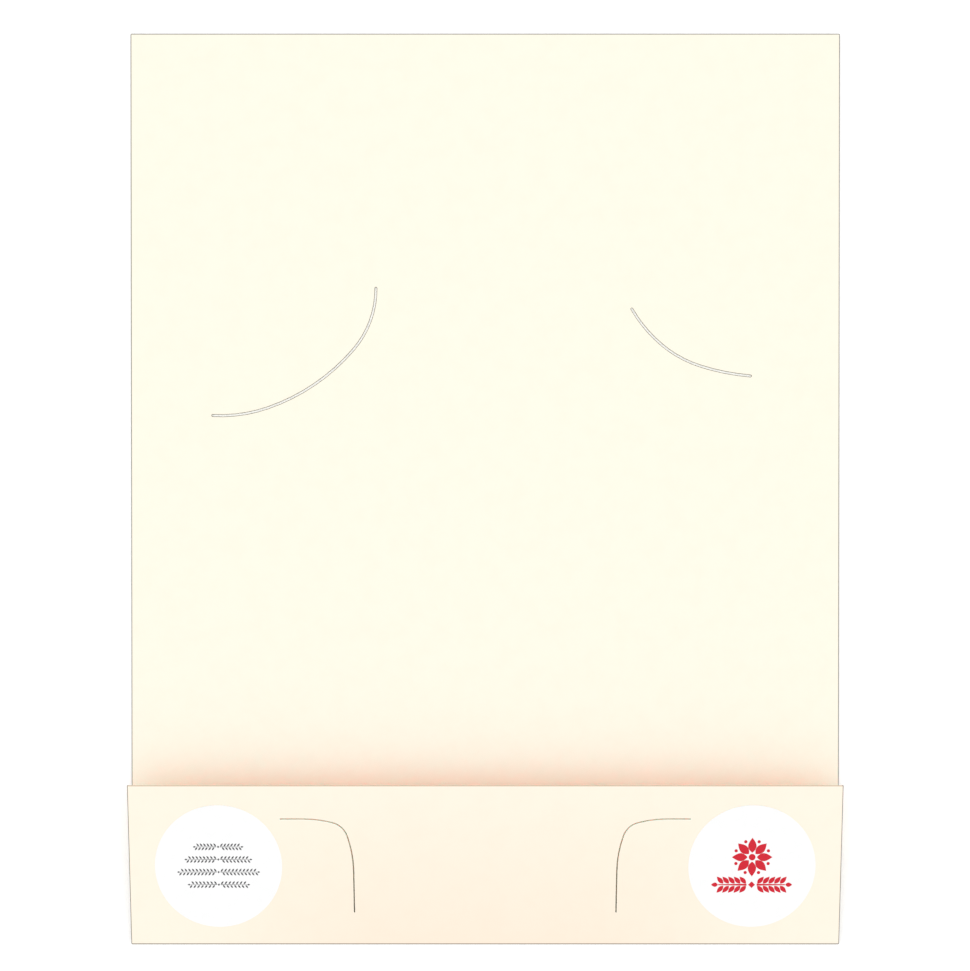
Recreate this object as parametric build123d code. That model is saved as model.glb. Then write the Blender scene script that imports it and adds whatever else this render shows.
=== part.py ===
from build123d import *
import os
from math import cos, radians, sin

# A pocket card: one sheet of cream card lying on its back, with a short flap along its
# near edge folded up over the front. The flap springs a little open and makes a pocket.
# Width runs along X and height along Y, and the flap lies on top, +Z up. The origin is
# under the middle of the sheet, on the surface that it lies on.

# Card stock
card_thickness = 0.4
panel_width = 177.8
panel_height = 228.6

# Fold and flap
fold_inner_radius = 0.3
flap_length = 41.0  # from the end of the bend to the free edge
flap_angle = 9.5  # degrees that the flap stands open from the panel

# Curved slots in the panel. Each starts at a place given across from the sheet's centre
# line and down from its far edge, sets off at a heading in degrees, and bends through
# arcs that run into each other, each one a radius and the degrees that it turns left
slot_width = 0.4
left_slot_start = (-68.4, 95.65)
left_slot_heading = -3.3
left_slot_arcs = [(35.9, 22.3), (49.8, 30.5), (23.2, 41.0)]
right_slot_start = (36.8, 68.95)
right_slot_heading = -60.0
right_slot_arcs = [(33.7, 20.2), (28.5, 22.2), (57.2, 12.8)]

# Round paper labels on the flap's outer face
label_diameter = 31.75
label_thickness = 0.1
label_side_margin = 6.45  # from the flap's side edge to the label's rim
label_below_middle = 0.45  # below the middle of the flap

# Slits in the flap, which free two corner tabs. Each starts at its label's inner side as a
# level cut, bends through arcs as above and runs straight on towards the fold
slit_kerf = 0.3
slit_edge_margin = 8.7  # from the flap's free edge to the level cut
slit_label_overlap = 0.3  # from the start of the level cut to its label's inner side
slit_level_length = 5.7
slit_corner_arcs = [(28.1, -14.9), (5.3, -56.7), (30.1, -17.8)]
slit_fold_margin = 8.0  # from the end of the bend to the end of the leg

fold_outer_radius = fold_inner_radius + card_thickness
fold_y = fold_outer_radius - panel_height / 2
flap_lift = radians(flap_angle)

# The flap's outer face: x along the fold, y up the flap from the end of the bend
flap_face = Plane(
    origin=(0, fold_y - fold_outer_radius * sin(flap_lift), fold_outer_radius * (1 + cos(flap_lift))),
    x_dir=(1, 0, 0),
    z_dir=(0, -sin(flap_lift), cos(flap_lift)),
)
mid_panel = Plane.XY.offset(card_thickness / 2)
mid_flap = flap_face.offset(-card_thickness / 2)

label_x = panel_width / 2 - label_side_margin - label_diameter / 2
label_y = flap_length / 2 - label_below_middle


def arc_chain(start, heading, arcs):
    """Arcs that run smoothly into each other, from a start and a heading in degrees."""
    edges = []
    tangent = Vector(1, 0).rotate(Axis.Z, heading)
    for radius, turn in arcs:
        edges.append(JernArc(start, tangent, radius, turn))
        start = edges[-1] @ 1
        tangent = edges[-1] % 1
    return edges


def slot(start, heading, arcs):
    """The outline of a curved slot with round ends, as seen on the panel."""
    across, below_far_edge = start
    return SlotArc(Wire(arc_chain((across, panel_height / 2 - below_far_edge), heading, arcs)), slot_width)


def left_slit():
    """The outline of the left slit with round ends, as seen on the flap."""
    label_inner_side = label_diameter / 2 - label_x
    level_start = Vector(label_inner_side - slit_label_overlap, flap_length - slit_edge_margin)
    level_cut = Line(level_start, level_start + Vector(slit_level_length, 0))
    corner = arc_chain(level_cut @ 1, 0, slit_corner_arcs)
    corner_end = corner[-1] @ 1
    leg_rise = corner_end.Y - slit_fold_margin
    leg = PolarLine(corner_end, leg_rise, direction=corner[-1] % 1, length_mode=LengthMode.VERTICAL)
    return SlotArc(Wire([level_cut, *corner, leg]), slit_kerf)


def card_sheet():
    """The folded sheet: panel, bend and flap in one thickness, with its slots and slits."""
    slots = [
        slot(left_slot_start, left_slot_heading, left_slot_arcs),
        slot(right_slot_start, right_slot_heading, right_slot_arcs),
    ]
    slit = left_slit()
    with BuildPart() as sheet:
        # The fold seen from the sheet's side edge
        with BuildSketch(Plane.YZ):
            with BuildLine():
                Line((panel_height / 2, card_thickness / 2), (fold_y, card_thickness / 2))
                bend = CenterArc(
                    (fold_y, fold_outer_radius), fold_inner_radius + card_thickness / 2, 270, flap_angle - 180
                )
                PolarLine(bend @ 1, flap_length, flap_angle)
            trace(line_width=card_thickness)
        extrude(amount=panel_width / 2, both=True)

        # Each cut goes a card's thickness both ways from the middle of the card
        with BuildSketch(mid_panel):
            add(slots)
        extrude(amount=card_thickness, both=True, mode=Mode.SUBTRACT)

        with BuildSketch(mid_flap):
            add(slit)
            mirror(about=Plane.YZ)
        extrude(amount=card_thickness, both=True, mode=Mode.SUBTRACT)
    return sheet.part


def label(side):
    """A round paper label stuck flat on the flap, on the left (-1) or the right (1)."""
    with BuildPart() as disc:
        with BuildSketch(flap_face):
            with Locations((side * label_x, label_y)):
                Circle(label_diameter / 2)
        extrude(amount=label_thickness)
    return disc.part


nodes = {
    "card_sheet": card_sheet(),
    "left_label": label(-1),
    "right_label": label(1),
}

os.makedirs("parts", exist_ok=True)
for name, solid in nodes.items():
    export_step(solid, f"parts/{name}.step")
    print(name, "volume", round(solid.volume, 2), "mm3, faces", len(solid.faces()))
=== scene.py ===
import math

import bmesh
import bpy
from mathutils import Matrix, Vector


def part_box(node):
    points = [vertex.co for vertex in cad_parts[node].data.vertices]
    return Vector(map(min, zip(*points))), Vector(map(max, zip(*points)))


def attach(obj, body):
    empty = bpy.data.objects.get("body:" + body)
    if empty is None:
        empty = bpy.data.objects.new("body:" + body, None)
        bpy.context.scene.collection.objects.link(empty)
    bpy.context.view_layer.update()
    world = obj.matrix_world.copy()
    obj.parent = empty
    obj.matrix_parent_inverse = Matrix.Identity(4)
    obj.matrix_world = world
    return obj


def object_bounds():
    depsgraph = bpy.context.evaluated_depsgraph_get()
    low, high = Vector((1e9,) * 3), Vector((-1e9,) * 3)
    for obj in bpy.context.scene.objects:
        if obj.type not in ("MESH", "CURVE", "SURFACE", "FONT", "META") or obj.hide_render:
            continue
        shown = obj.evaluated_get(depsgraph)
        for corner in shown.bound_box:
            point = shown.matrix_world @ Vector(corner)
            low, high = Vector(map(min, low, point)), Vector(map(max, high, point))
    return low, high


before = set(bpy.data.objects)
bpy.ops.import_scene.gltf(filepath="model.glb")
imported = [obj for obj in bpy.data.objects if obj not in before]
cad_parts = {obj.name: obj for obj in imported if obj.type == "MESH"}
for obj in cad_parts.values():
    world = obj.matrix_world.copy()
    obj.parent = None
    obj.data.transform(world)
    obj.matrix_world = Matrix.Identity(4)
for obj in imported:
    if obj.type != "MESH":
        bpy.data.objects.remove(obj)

mm = 0.001
cadLow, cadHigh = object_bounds()
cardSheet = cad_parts["card_sheet"]
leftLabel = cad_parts["left_label"]
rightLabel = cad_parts["right_label"]
print("frame loaded:", ", ".join(sorted(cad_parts)))


# camera, looking down on the card as the photo does
cameraSetup = {
    "focalPx": 2264.9,  # in the photo's 970 x 971 frame
    "longSidePx": 971,
    "sensorMm": 36,
    "placeMm": (-0.06, 6.67, 569.17),
    "tiltDeg": -0.5644,
}


def makeCamera(setup):
    data = bpy.data.cameras.new("cardCamera")
    data.sensor_width = setup["sensorMm"]
    data.lens = setup["focalPx"] * setup["sensorMm"] / setup["longSidePx"]
    data.clip_start = 0.01
    data.clip_end = 10
    camera = bpy.data.objects.new("cardCamera", data)
    camera.location = Vector(setup["placeMm"]) * mm
    camera.rotation_euler = (math.radians(setup["tiltDeg"]), 0, 0)
    bpy.context.scene.collection.objects.link(camera)
    bpy.context.scene.camera = camera


makeCamera(cameraSetup)


# node trees are built with these
def newMaterial(name):
    material = bpy.data.materials.new(name)
    material.use_nodes = True
    material.node_tree.nodes.clear()
    return material, material.node_tree


def addNode(tree, kind, inputs=None, **settings):
    # an input is a socket to link from, or a fixed value
    node = tree.nodes.new(kind)
    for setting, value in settings.items():
        setattr(node, setting, value)
    for slot, value in (inputs or {}).items():
        if isinstance(value, bpy.types.NodeSocket):
            tree.links.new(value, node.inputs[slot])
        else:
            node.inputs[slot].default_value = value
    return node


def calc(tree, operation, first, second=0.0):
    return addNode(tree, "ShaderNodeMath", {0: first, 1: second}, operation=operation).outputs[0]


def ramp(tree, value, fromLow, fromHigh, toLow=0.0, toHigh=1.0):
    return addNode(tree, "ShaderNodeMapRange", {
        "Value": value,
        "From Min": fromLow,
        "From Max": fromHigh,
        "To Min": toLow,
        "To Max": toHigh,
    }, interpolation_type="SMOOTHSTEP").outputs[0]


def mixColours(tree, factor, first, second):
    return addNode(tree, "ShaderNodeMix", {0: factor, 6: first, 7: second}, data_type="RGBA").outputs[2]


def colour(red, green, blue):
    # sRGB 0-255, as picked from a screen, to the linear values that nodes take
    def toLinear(level):
        level = level / 255
        return level / 12.92 if level <= 0.04045 else ((level + 0.055) / 1.055) ** 2.4
    return toLinear(red), toLinear(green), toLinear(blue), 1


def setSurface(tree, shader):
    addNode(tree, "ShaderNodeOutputMaterial", {"Surface": shader.outputs[0]})


# light: one plain white dome, soft from every side
lightSetup = {
    "domeStrength": 1.05,
    "backgroundStrength": 1.0,
}


def makeWorld(setup):
    world = bpy.data.worlds.new("studio")
    bpy.context.scene.world = world
    world.use_nodes = True
    tree = world.node_tree
    tree.nodes.clear()
    white = (1, 1, 1, 1)
    dome, backdrop = (
        addNode(tree, "ShaderNodeBackground", {"Color": white, "Strength": setup[strength]}).outputs[0]
        for strength in ("domeStrength", "backgroundStrength")
    )
    path = addNode(tree, "ShaderNodeLightPath").outputs
    direct = calc(tree, "MAXIMUM", path["Is Camera Ray"], path["Is Glossy Ray"])
    seen = calc(tree, "MAXIMUM", direct, path["Is Transmission Ray"])
    mix = addNode(tree, "ShaderNodeMixShader", {0: seen, 1: dome, 2: backdrop})
    addNode(tree, "ShaderNodeOutputWorld", {"Surface": mix.outputs[0]})


makeWorld(lightSetup)


floorSetup = {
    "halfSizeM": 3.0,
    "belowCardMm": 0.06,
    "albedo": 0.9,
    "cameraLift": 0.21,  # added for the camera alone, so that the bare floor reads white
}


def makeFloor(setup):
    half = setup["halfSizeM"]
    level = -setup["belowCardMm"] * mm
    mesh = bpy.data.meshes.new("floor")
    corners = [(-half, -half, level), (half, -half, level), (half, half, level), (-half, half, level)]
    mesh.from_pydata(corners, [], [(0, 1, 2, 3)])
    floor = bpy.data.objects.new("floor", mesh)
    bpy.context.scene.collection.objects.link(floor)
    material, tree = newMaterial("paleFloor")
    matte = addNode(tree, "ShaderNodeBsdfDiffuse", {"Color": (*[setup["albedo"]] * 3, 1)})
    lift = addNode(tree, "ShaderNodeEmission", {"Strength": setup["cameraLift"]})
    lifted = addNode(tree, "ShaderNodeAddShader", {0: matte.outputs[0], 1: lift.outputs[0]})
    path = addNode(tree, "ShaderNodeLightPath").outputs
    seen = {0: path["Is Camera Ray"], 1: matte.outputs[0], 2: lifted.outputs[0]}
    setSurface(tree, addNode(tree, "ShaderNodeMixShader", seen))
    mesh.materials.append(material)


makeFloor(floorSetup)
print("camera, light and floor in place")


# paper grain: cloudy patches where the pulp settled, and fine fibres lying every way
def paperGrain(tree, grain):
    place = {0: addNode(tree, "ShaderNodeNewGeometry").outputs["Position"], "Scale": 1 / mm}
    inMm = addNode(tree, "ShaderNodeVectorMath", place, operation="SCALE").outputs[0]
    clouds = {"Vector": inMm, "Scale": 1 / grain["cloudMm"], "Detail": 3, "Roughness": 0.6}
    cloud = addNode(tree, "ShaderNodeTexNoise", clouds).outputs["Fac"]
    fibre = None
    for turn in grain["fibreTurns"]:
        lay = addNode(tree, "ShaderNodeMapping", {
            "Vector": inMm,
            "Rotation": (0, 0, math.radians(turn)),
            "Scale": (1 / grain["fibreLongMm"], 1 / grain["fibreWideMm"], 1 / grain["fibreWideMm"]),
        }).outputs[0]
        threads = {"Vector": lay, "Scale": 1.0, "Detail": 2, "Distortion": 0.6}
        layer = addNode(tree, "ShaderNodeTexNoise", threads).outputs["Fac"]
        fibre = layer if fibre is None else calc(tree, "MAXIMUM", fibre, layer)
    return inMm, cloud, fibre


def paperShader(tree, paper, grain, tone, fibre, cloud):
    # the fibres shine a little more than what lies between them, and stand a little higher
    rougher, smoother = (paper["roughness"] + change for change in (0.06, -0.06))
    rough = ramp(tree, fibre, 0.35, 0.8, rougher, smoother)
    lift = calc(tree, "ADD", calc(tree, "MULTIPLY", fibre, 0.8), calc(tree, "MULTIPLY", cloud, 0.2))
    bump = addNode(tree, "ShaderNodeBump", {
        "Strength": grain["bumpStrength"],
        "Distance": grain["bumpMm"] * mm,
        "Height": lift,
    }).outputs[0]
    return addNode(tree, "ShaderNodeBsdfPrincipled", {
        "Base Color": tone,
        "Roughness": rough,
        "Specular IOR Level": paper["specular"],
        "Normal": bump,
    })


# cream card, its flap seen from the sheet's other side, with painted shade on the flap, along the fold
# and along the cut edges
cardStock = {
    "face": (255, 249, 232),
    "hollow": (253, 246, 228),  # the thinner patches
    # the flap's face, a touch darker and warmer than the panel: painted shade
    "flapShadePale": (255, 245, 228),
    "flapShadeDeep": (255, 236, 217),  # painted shade, deepest in the pocket, where less light comes through
    "shadePastLabelMm": (5, 4),  # above and below the labels, where the painted shade starts and is full
    "shadeDown": (0.12, 1.0),  # how deep the painted shade is by the flap's free edge, and by the fold
    "shadeAcrossMm": (88.6, 20),  # out from the middle, where the painted shade starts and is full
    "shadeAcross": (0.08, 1.0),
    "warmPatches": (-0.06, 0.1),
    "roughness": 0.82,
    "specular": 0.1,
    "foldShade": (84, 77, 68),  # painted shade along the fold's upper side
    "foldShadeMm": (0.42, 0.16),  # in from the outermost line, where it starts and where it is full
    "foldShadeHeightMm": (0.45, 0.7),  # up from the floor, likewise
    "edgeShadeMm": (0.23, 0.16),  # in from the sheet's outline, likewise
    "foldDepthMm": 0.72,  # how far the bend reaches in from the outermost line
    "flapPasses": (0.95, 0.07, 0.04),  # the share of light that the flap lets through by its free edge
    "flapReturns": (0.05, 0.7, 0.68),
    "passesMm": (4.5, 8.2),  # down from the free edge, where that starts to fade and where it ends
    "passesSideMm": (89, 86.5),  # out from the middle, where that starts and where it is full
    "tipShade": (228, 206, 182),  # painted shade along the flap's free edge
    "tipShadeMm": (0.34, 0.24),  # down from the free edge, where it starts and where it is full
    "edge": (122, 115, 104),  # painted shade line, round the panel and along the flap's sides
    "edgePatches": (1.0, 0.85),  # how far the painted edge shade covers, between and on the fibres
    "slotRim": (112, 110, 96),  # painted shade line round the slots
    "slotWall": (255, 252, 238),
    "slotRimMm": 0.075,  # how deep the painted shade goes down the slot's wall
    "slotMarginMm": 1,  # what lies this far inside the sheet's outline is a slot
    "cleanEdge": (252, 245, 230),  # the slits in the flap
    "coolEdge": (244, 252, 241),  # the slits by the free edge, which balances the warm light below
    "coolMm": (16.2, 9.8),  # down from the free edge, where that starts and where it is full
    "tipCutShade": (216, 199, 174),  # painted shade on the cut along the flap's free edge
    "thicknessMm": 0.4,
    "panelTopMm": 0.6,  # only the panel and the fold lie below this
    "flapTipMm": 7.5,  # only the flap's free edge lies above this
    "sideMm": 88.6,  # past this from the middle lie only the sheet's sides
}
cardGrain = {
    "cloudMm": 5.5,
    "cloudRange": (0.35, 0.75),  # the noise levels that the patches run between
    "cloudSpan": 0.5,
    "fibreTurns": (18, 77, -48),
    "fibreLongMm": 1.3,
    "fibreWideMm": 0.16,
    "bumpStrength": 0.35,
    "bumpMm": 0.02,
}
rimSetup = {
    "weldMm": 0.001,
    "flatDeg": 0.5,
    "widthMm": 0.155,
    "segments": 2,
    "sharpDeg": 40,
}


def flapFrame(label):
    # a label's outer face: x along the fold, y up the flap, z out of the paper, origin in the middle
    mesh = label.data
    out = Vector()
    for polygon in mesh.polygons:
        if polygon.normal.z > 0.5:
            out += polygon.normal * polygon.area
    out.normalize()
    across = Vector((1, 0, 0))
    axes = (across, out.cross(across), out)
    spans = [[axis.dot(vertex.co) for vertex in mesh.vertices] for axis in axes]
    middle = [(min(span) + max(span)) / 2 for span in spans[:2]] + [max(spans[2])]
    turned = Matrix(axes).transposed().to_4x4()
    turned.translation = sum((axis * along for axis, along in zip(axes, middle)), Vector())
    return turned


def makePanelMaterial(stock, grain):
    material, tree = newMaterial("creamCard")
    inMm, cloud, fibre = paperGrain(tree, grain)
    patches = ramp(tree, cloud, *grain["cloudRange"], 0.0, grain["cloudSpan"])
    tone = mixColours(tree, patches, colour(*stock["face"]), colour(*stock["hollow"]))
    tone = addLines(tree, stock, inMm, tone)
    setSurface(tree, paperShader(tree, stock, grain, tone, fibre, cloud))
    return material


def flapTopMm(sheet, stock):
    # how far up the card the flap's free edge reaches
    return max(v.co.y for v in sheet.data.vertices if v.co.z > stock["flapTipMm"] * mm) / mm


def addLines(tree, stock, inMm, tone):
    # painted shade along the fold, and a painted shade line inside the sheet's outline
    place = addNode(tree, "ShaderNodeSeparateXYZ", {0: inMm}).outputs
    starts, full = (cadLow[1] / mm + inward for inward in stock["foldShadeMm"])
    inward = ramp(tree, place["Y"], starts, full)
    upward = ramp(tree, place["Z"], *stock["foldShadeHeightMm"])
    tone = mixColours(tree, calc(tree, "MULTIPLY", inward, upward), tone, colour(*stock["foldShade"]))
    aside = calc(tree, "ABSOLUTE", place["X"])
    for along, outline in ((aside, cadHigh[0] / mm), (place["Y"], cadHigh[1] / mm)):
        starts, full = (outline - inward for inward in stock["edgeShadeMm"])
        tone = mixColours(tree, ramp(tree, along, starts, full), tone, colour(*stock["edge"]))
    return tone


def makeFlapMaterial(stock, grain, topMm):
    material, tree = newMaterial("creamFlap")
    inMm, cloud, fibre = paperGrain(tree, grain)
    place = addNode(tree, "ShaderNodeSeparateXYZ", {0: inMm}).outputs
    lowest, highest = (corner[1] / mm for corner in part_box("left_label"))
    above, below = stock["shadePastLabelMm"]
    byTip, byFold = stock["shadeDown"]
    downward = addNode(tree, "ShaderNodeMapRange", {
        "Value": place["Y"],
        "From Min": highest + above,
        "From Max": lowest - below,
        "To Min": byTip,
        "To Max": byFold,
    }).outputs[0]
    aside = calc(tree, "ABSOLUTE", place["X"])
    inward = ramp(tree, aside, *stock["shadeAcrossMm"], *stock["shadeAcross"])
    patches = ramp(tree, cloud, *grain["cloudRange"], *stock["warmPatches"])
    # painted shade on the flap: darker and warmer towards the fold and the middle, with random patches
    # over it
    shadeAndPatches = calc(tree, "ADD", calc(tree, "MULTIPLY", downward, inward), patches)
    tone = mixColours(tree, shadeAndPatches, colour(*stock["flapShadePale"]), colour(*stock["flapShadeDeep"]))
    tone = addLines(tree, stock, inMm, tone)
    # painted shade along the flap's free edge
    starts, full = (topMm - down for down in stock["tipShadeMm"])
    tipShaded = ramp(tree, place["Y"], starts, full)
    tone = mixColours(tree, tipShaded, tone, colour(*stock["tipShade"]))
    face = paperShader(tree, stock, grain, tone, fibre, cloud)

    # light goes through the card by its free edge, red the most, and warms the panel behind it
    starts, ends = (topMm - down for down in stock["passesMm"])
    near = ramp(tree, place["Y"], ends, starts)
    share = calc(tree, "MULTIPLY", near, ramp(tree, aside, *stock["passesSideMm"]))
    levels = colour(*stock["face"])
    kept = [level * part for level, part in zip(levels, (*stock["flapReturns"], 1))]
    passed = [level * part for level, part in zip(levels, (*stock["flapPasses"], 1))]
    matte = addNode(tree, "ShaderNodeBsdfDiffuse", {"Color": mixColours(tree, share, levels, kept)})
    through = mixColours(tree, share, (0, 0, 0, 1), passed)
    glow = addNode(tree, "ShaderNodeBsdfTranslucent", {"Color": through})
    thin = addNode(tree, "ShaderNodeAddShader", {0: matte.outputs[0], 1: glow.outputs[0]})
    path = addNode(tree, "ShaderNodeLightPath").outputs
    setSurface(tree, addNode(tree, "ShaderNodeMixShader", {
        0: path["Is Camera Ray"], 1: thin.outputs[0], 2: face.outputs[0],
    }))
    return material


def makeEdgeMaterial(stock, grain, topMm):
    material, tree = newMaterial("cutEdge")
    inMm, cloud, fibre = paperGrain(tree, grain)
    place = addNode(tree, "ShaderNodeSeparateXYZ", {0: inMm}).outputs
    onPanel = calc(tree, "LESS_THAN", place["Z"], stock["panelTopMm"])
    aside = calc(tree, "ABSOLUTE", place["X"])
    onSide = calc(tree, "GREATER_THAN", aside, stock["sideMm"])
    onTip = calc(tree, "GREATER_THAN", place["Z"], stock["flapTipMm"])
    # a painted shade line on the rims round the panel and along the flap's sides, patchy by the fibres
    edgeShaded = calc(tree, "MAXIMUM", onPanel, onSide)
    patchy = calc(tree, "MULTIPLY", edgeShaded, ramp(tree, fibre, 0.3, 0.8, *stock["edgePatches"]))
    cool = ramp(tree, place["Y"], *(topMm - down for down in stock["coolMm"]))
    tone = mixColours(tree, cool, colour(*stock["cleanEdge"]), colour(*stock["coolEdge"]))
    # painted shade on the cut along the flap's free edge
    tone = mixColours(tree, onTip, tone, colour(*stock["tipCutShade"]))
    tone = mixColours(tree, patchy, tone, colour(*stock["edge"]))

    # the slots' walls stay pale below their rims
    inSlot = onPanel
    for along, outline in ((aside, stock["sideMm"]), (place["Y"], cadHigh[1] / mm)):
        within = calc(tree, "LESS_THAN", along, outline - stock["slotMarginMm"])
        inSlot = calc(tree, "MULTIPLY", within, inSlot)
    # a painted shade line on the slots' rims
    onRim = calc(tree, "GREATER_THAN", place["Z"], stock["thicknessMm"] - stock["slotRimMm"])
    slotTone = mixColours(tree, onRim, colour(*stock["slotWall"]), colour(*stock["slotRim"]))
    tone = mixColours(tree, inSlot, tone, slotTone)
    setSurface(tree, paperShader(tree, stock, grain, tone, fibre, cloud))
    return material


def dressCard(sheet, stock, grain):
    topMm = flapTopMm(sheet, stock)
    sheet.data.materials.clear()
    for material in (
        makePanelMaterial(stock, grain),
        makeEdgeMaterial(stock, grain, topMm),
        makeFlapMaterial(stock, grain, topMm),
    ):
        sheet.data.materials.append(material)
    flapOut = flapFrame(leftLabel).col[2].to_3d()
    foldEnd = cadLow[1] + stock["foldDepthMm"] * mm
    for polygon in sheet.data.polygons:
        onFlap = polygon.center.z > stock["panelTopMm"] * mm
        faceOut = flapOut if onFlap else Vector((0, 0, 1))
        inFold = polygon.center.y < foldEnd
        isCut = abs(polygon.normal.dot(faceOut)) < 0.5 and not inFold
        isSide = abs(polygon.normal.x) > 0.9
        polygon.material_index = 1 if isCut or isSide else 2 * onFlap


def softenRims(sheet, setup):
    # the faces come with split corners, so they are joined first
    weld = sheet.modifiers.new("joinCorners", "WELD")
    weld.merge_threshold = setup["weldMm"] * mm
    flat = sheet.modifiers.new("mergeFlats", "DECIMATE")
    flat.decimate_type = "DISSOLVE"
    flat.angle_limit = math.radians(setup["flatDeg"])
    flat.delimit = {"MATERIAL"}
    rim = sheet.modifiers.new("rim", "BEVEL")
    rim.width = setup["widthMm"] * mm
    rim.segments = setup["segments"]
    rim.limit_method = "ANGLE"
    rim.angle_limit = math.radians(setup["sharpDeg"])
    rim.use_clamp_overlap = False
    rim.harden_normals = True
    rim.loop_slide = False  # keeps the rim as wide all the way along
    rim.material = 1

    # the broad faces are cut into plump triangles, as needle-thin ones would show as lines
    plump = sheet.modifiers.new("plumpTriangles", "TRIANGULATE")
    plump.ngon_method = "BEAUTY"
    plump.min_vertices = 5
    plump.keep_custom_normals = True


dressCard(cardSheet, cardStock, cardGrain)
softenRims(cardSheet, rimSetup)
print("card dressed")


# smooth white label paper
labelStock = {
    "face": (251, 251, 251),
    "hollow": (249, 249, 249),
    "roughness": 0.55,
    "specular": 0.25,
}
labelGrain = {
    "cloudMm": 3.0,
    "cloudRange": (0.35, 0.75),
    "fibreTurns": (5, 62, -61),
    "fibreLongMm": 0.8,
    "fibreWideMm": 0.1,
    "bumpStrength": 0.25,
    "bumpMm": 0.008,
}


def makeLabelMaterial(stock, grain):
    material, tree = newMaterial("labelPaper")
    inMm, cloud, fibre = paperGrain(tree, grain)
    patches = ramp(tree, cloud, *grain["cloudRange"])
    tone = mixColours(tree, patches, colour(*stock["face"]), colour(*stock["hollow"]))
    setSurface(tree, paperShader(tree, stock, grain, tone, fibre, cloud))
    return material


labelPaper = makeLabelMaterial(labelStock, labelGrain)
for label in (leftLabel, rightLabel):
    label.data.materials.clear()
    label.data.materials.append(labelPaper)
print("labels dressed")


# printed ornament: outlines in millimetres on the label's face, made into thin films of ink
inkSetup = {
    "aboveMm": 0.012,
    "sunkMm": 0.01,
    "roughness": 0.5,
    "specular": 0.3,
}


def leafOutline(root, turnDeg, length, width, steps=7):
    # a pointed leaf from its root, widest a little before the middle
    turn = math.radians(turnDeg)
    upper = []
    for step in range(steps + 1):
        along = step / steps
        half = width / 2 * math.sin(math.pi * along ** 0.85)
        upper.append((along * length, half))
    lower = [(along, -half) for along, half in reversed(upper[1:-1])]
    outline = upper + lower
    return [(
        root[0] + along * math.cos(turn) - half * math.sin(turn),
        root[1] + along * math.sin(turn) + half * math.cos(turn),
    ) for along, half in outline]


def discOutline(middle, radius, steps=16):
    turns = [2 * math.pi * step / steps for step in range(steps)]
    return [(middle[0] + radius * math.cos(turn), middle[1] + radius * math.sin(turn)) for turn in turns]


def printInk(name, outlines, label, ink, setup):
    face = flapFrame(label)
    work = bmesh.new()
    for outline in outlines:
        turning = sum(a[0] * b[1] - b[0] * a[1] for a, b in zip(outline, outline[1:] + outline[:1]))
        if turning < 0:
            outline = outline[::-1]
        low, high = -setup["sunkMm"], setup["aboveMm"]
        bottom = [work.verts.new(face @ (Vector((x, y, low)) * mm)) for x, y in outline]
        top = [work.verts.new(face @ (Vector((x, y, high)) * mm)) for x, y in outline]
        work.faces.new(bottom[::-1])
        work.faces.new(top)
        for here in range(len(outline)):
            after = (here + 1) % len(outline)
            work.faces.new((bottom[here], bottom[after], top[after], top[here]))
    mesh = bpy.data.meshes.new(name)
    work.to_mesh(mesh)
    work.free()
    piece = bpy.data.objects.new(name, mesh)
    bpy.context.scene.collection.objects.link(piece)
    mesh.materials.append(ink)
    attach(piece, "root")


def makeInk(name, dark, thin, setup):
    material, tree = newMaterial(name)
    inMm, cloud, fibre = paperGrain(tree, labelGrain)
    tone = mixColours(tree, ramp(tree, fibre, 0.45, 0.85), colour(*dark), colour(*thin))
    setSurface(tree, paperShader(tree, setup, labelGrain, tone, fibre, cloud))
    return material


# a row of leaves on a thin stem, running out both ways from a small bud. The lower leaves
# stand between the upper ones by the given share of a step
def leafRow(middle, row, rowWidth):
    leafLength, leafWidth, stemWidth = row["leafLengthMm"], row["leafWidthMm"], row["stemMm"]
    budRadius = leafWidth * 0.75
    tipLength = leafLength * 0.7
    outlines = [discOutline(middle, budRadius, 4)]
    for side in (-1, 1):
        start = leafWidth * 1.1
        stemEnd = rowWidth / 2 - leafLength * 0.75
        stem = [
            (start, -stemWidth / 2),
            (stemEnd, -stemWidth / 4),
            (stemEnd, stemWidth / 4),
            (start, stemWidth / 2),
        ]
        outlines.append([(middle[0] + side * x, middle[1] + y) for x, y in stem])
        leaves = max(1, round((stemEnd - start) / row["leafSpacingMm"]))
        step = (stemEnd - start) / leaves
        for leaf in range(leaves):
            for up in (-1, 1):
                later = row["lowerLaterBy"] if up < 0 else 0
                turn = row["leafTurnDeg"] * up
                root = middle[0] + side * (start + step * (leaf + 0.1 + later))
                base = (root, middle[1] + up * (stemWidth / 2 + row["leafGapMm"]))
                aim = turn if side > 0 else 180 - turn
                outlines.append(leafOutline(base, aim, leafLength, leafWidth))
        tip = (middle[0] + side * (stemEnd + row["tipGapMm"]), middle[1])
        outlines.append(leafOutline(tip, 0 if side > 0 else 180, tipLength, leafWidth))
    return outlines


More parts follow.
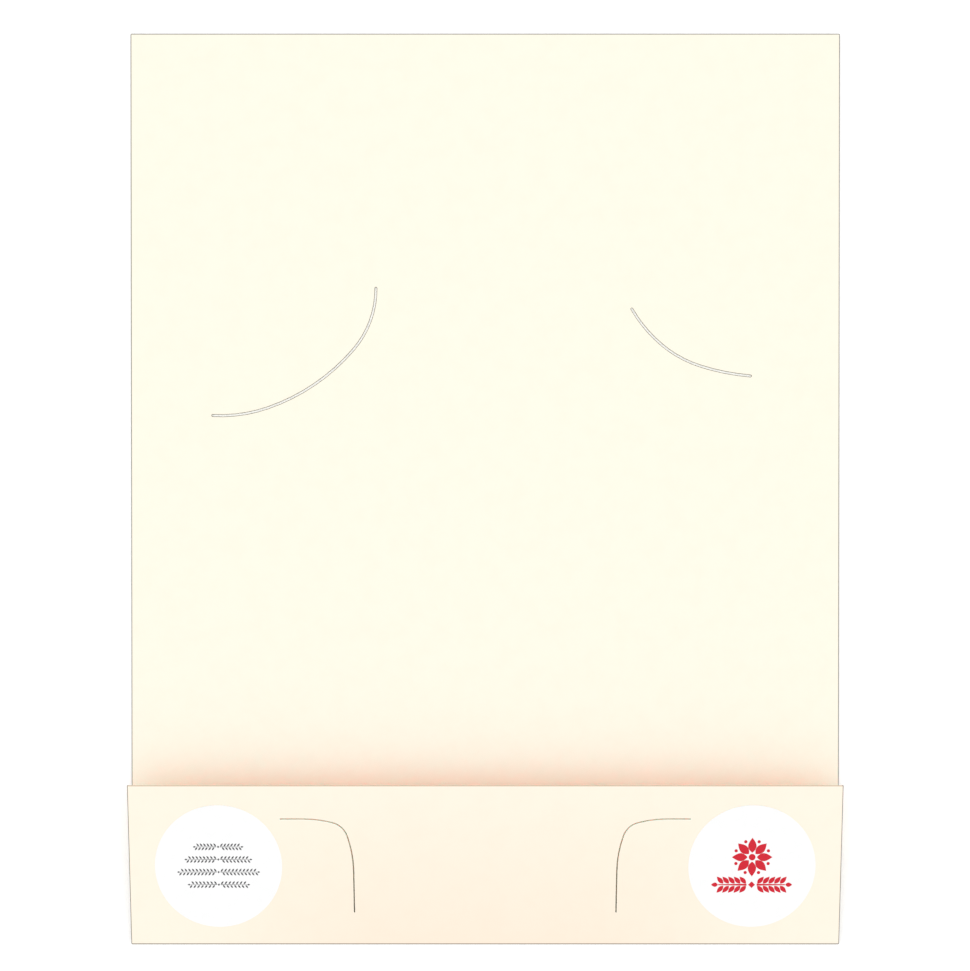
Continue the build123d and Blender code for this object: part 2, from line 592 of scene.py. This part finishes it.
leafPrint = {
    "rowWidthsMm": (12.6, 16.9, 20.7, 15.6),
    "rowSpacingMm": 3.29,
    "raisedMm": 0.15,
    "leafLengthMm": 1.0,
    "leafWidthMm": 0.42,
    "leafSpacingMm": 0.9,
    "leafTurnDeg": 52,
    "lowerLaterBy": 0.5,
    "stemMm": 0.16,
    "leafGapMm": 0.04,
    "tipGapMm": 0.06,
    "dark": (84, 84, 86),
    "thin": (112, 112, 113),
}


def printLeaves(label, spec):
    outlines = []
    rows = spec["rowWidthsMm"]
    for row, rowWidth in enumerate(rows):
        height = spec["raisedMm"] + ((len(rows) - 1) / 2 - row) * spec["rowSpacingMm"]
        outlines += leafRow((0, height), spec, rowWidth)
    ink = makeInk("greyInk", spec["dark"], spec["thin"], inkSetup)
    printInk("left_label_print", outlines, label, ink, inkSetup)


rosettePrint = {
    "middleMm": (0, 2.4),
    "petals": 8,
    "petalStartMm": 1.15,
    "petalLengthMm": 3.9,
    "petalWidthMm": 2.1,
    "buttonMm": 0.85,
    "dotRingMm": 4.35,
    "dotMm": 0.42,
    "rowMm": (0, -4.8),
    "rowWidthMm": 20.4,
    "leafLengthMm": 2.45,
    "leafWidthMm": 1.15,
    "leafSpacingMm": 1.55,
    "leafTurnDeg": 48,
    "lowerLaterBy": 0,
    "stemMm": 0.5,
    "leafGapMm": 0.04,
    "tipGapMm": 0.06,
    "dark": (208, 20, 42),
    "thin": (216, 34, 56),
}


def printRosette(label, spec):
    x, y = spec["middleMm"]
    outlines = [discOutline((x, y), spec["buttonMm"], 20)]
    for petal in range(spec["petals"]):
        turn = 360 / spec["petals"] * petal
        aim = math.radians(turn)
        root = (x + spec["petalStartMm"] * math.cos(aim), y + spec["petalStartMm"] * math.sin(aim))
        outlines.append(leafOutline(root, turn, spec["petalLengthMm"], spec["petalWidthMm"], 10))
        aim += math.pi / spec["petals"]
        dot = (x + spec["dotRingMm"] * math.cos(aim), y + spec["dotRingMm"] * math.sin(aim))
        outlines.append(discOutline(dot, spec["dotMm"], 12))
    outlines += leafRow(spec["rowMm"], spec, spec["rowWidthMm"])
    ink = makeInk("redInk", spec["dark"], spec["thin"], inkSetup)
    printInk("right_label_print", outlines, label, ink, inkSetup)


printLeaves(leftLabel, leafPrint)
printRosette(rightLabel, rosettePrint)
print("ornament printed")

bpy.context.scene.view_settings.view_transform = "Standard"
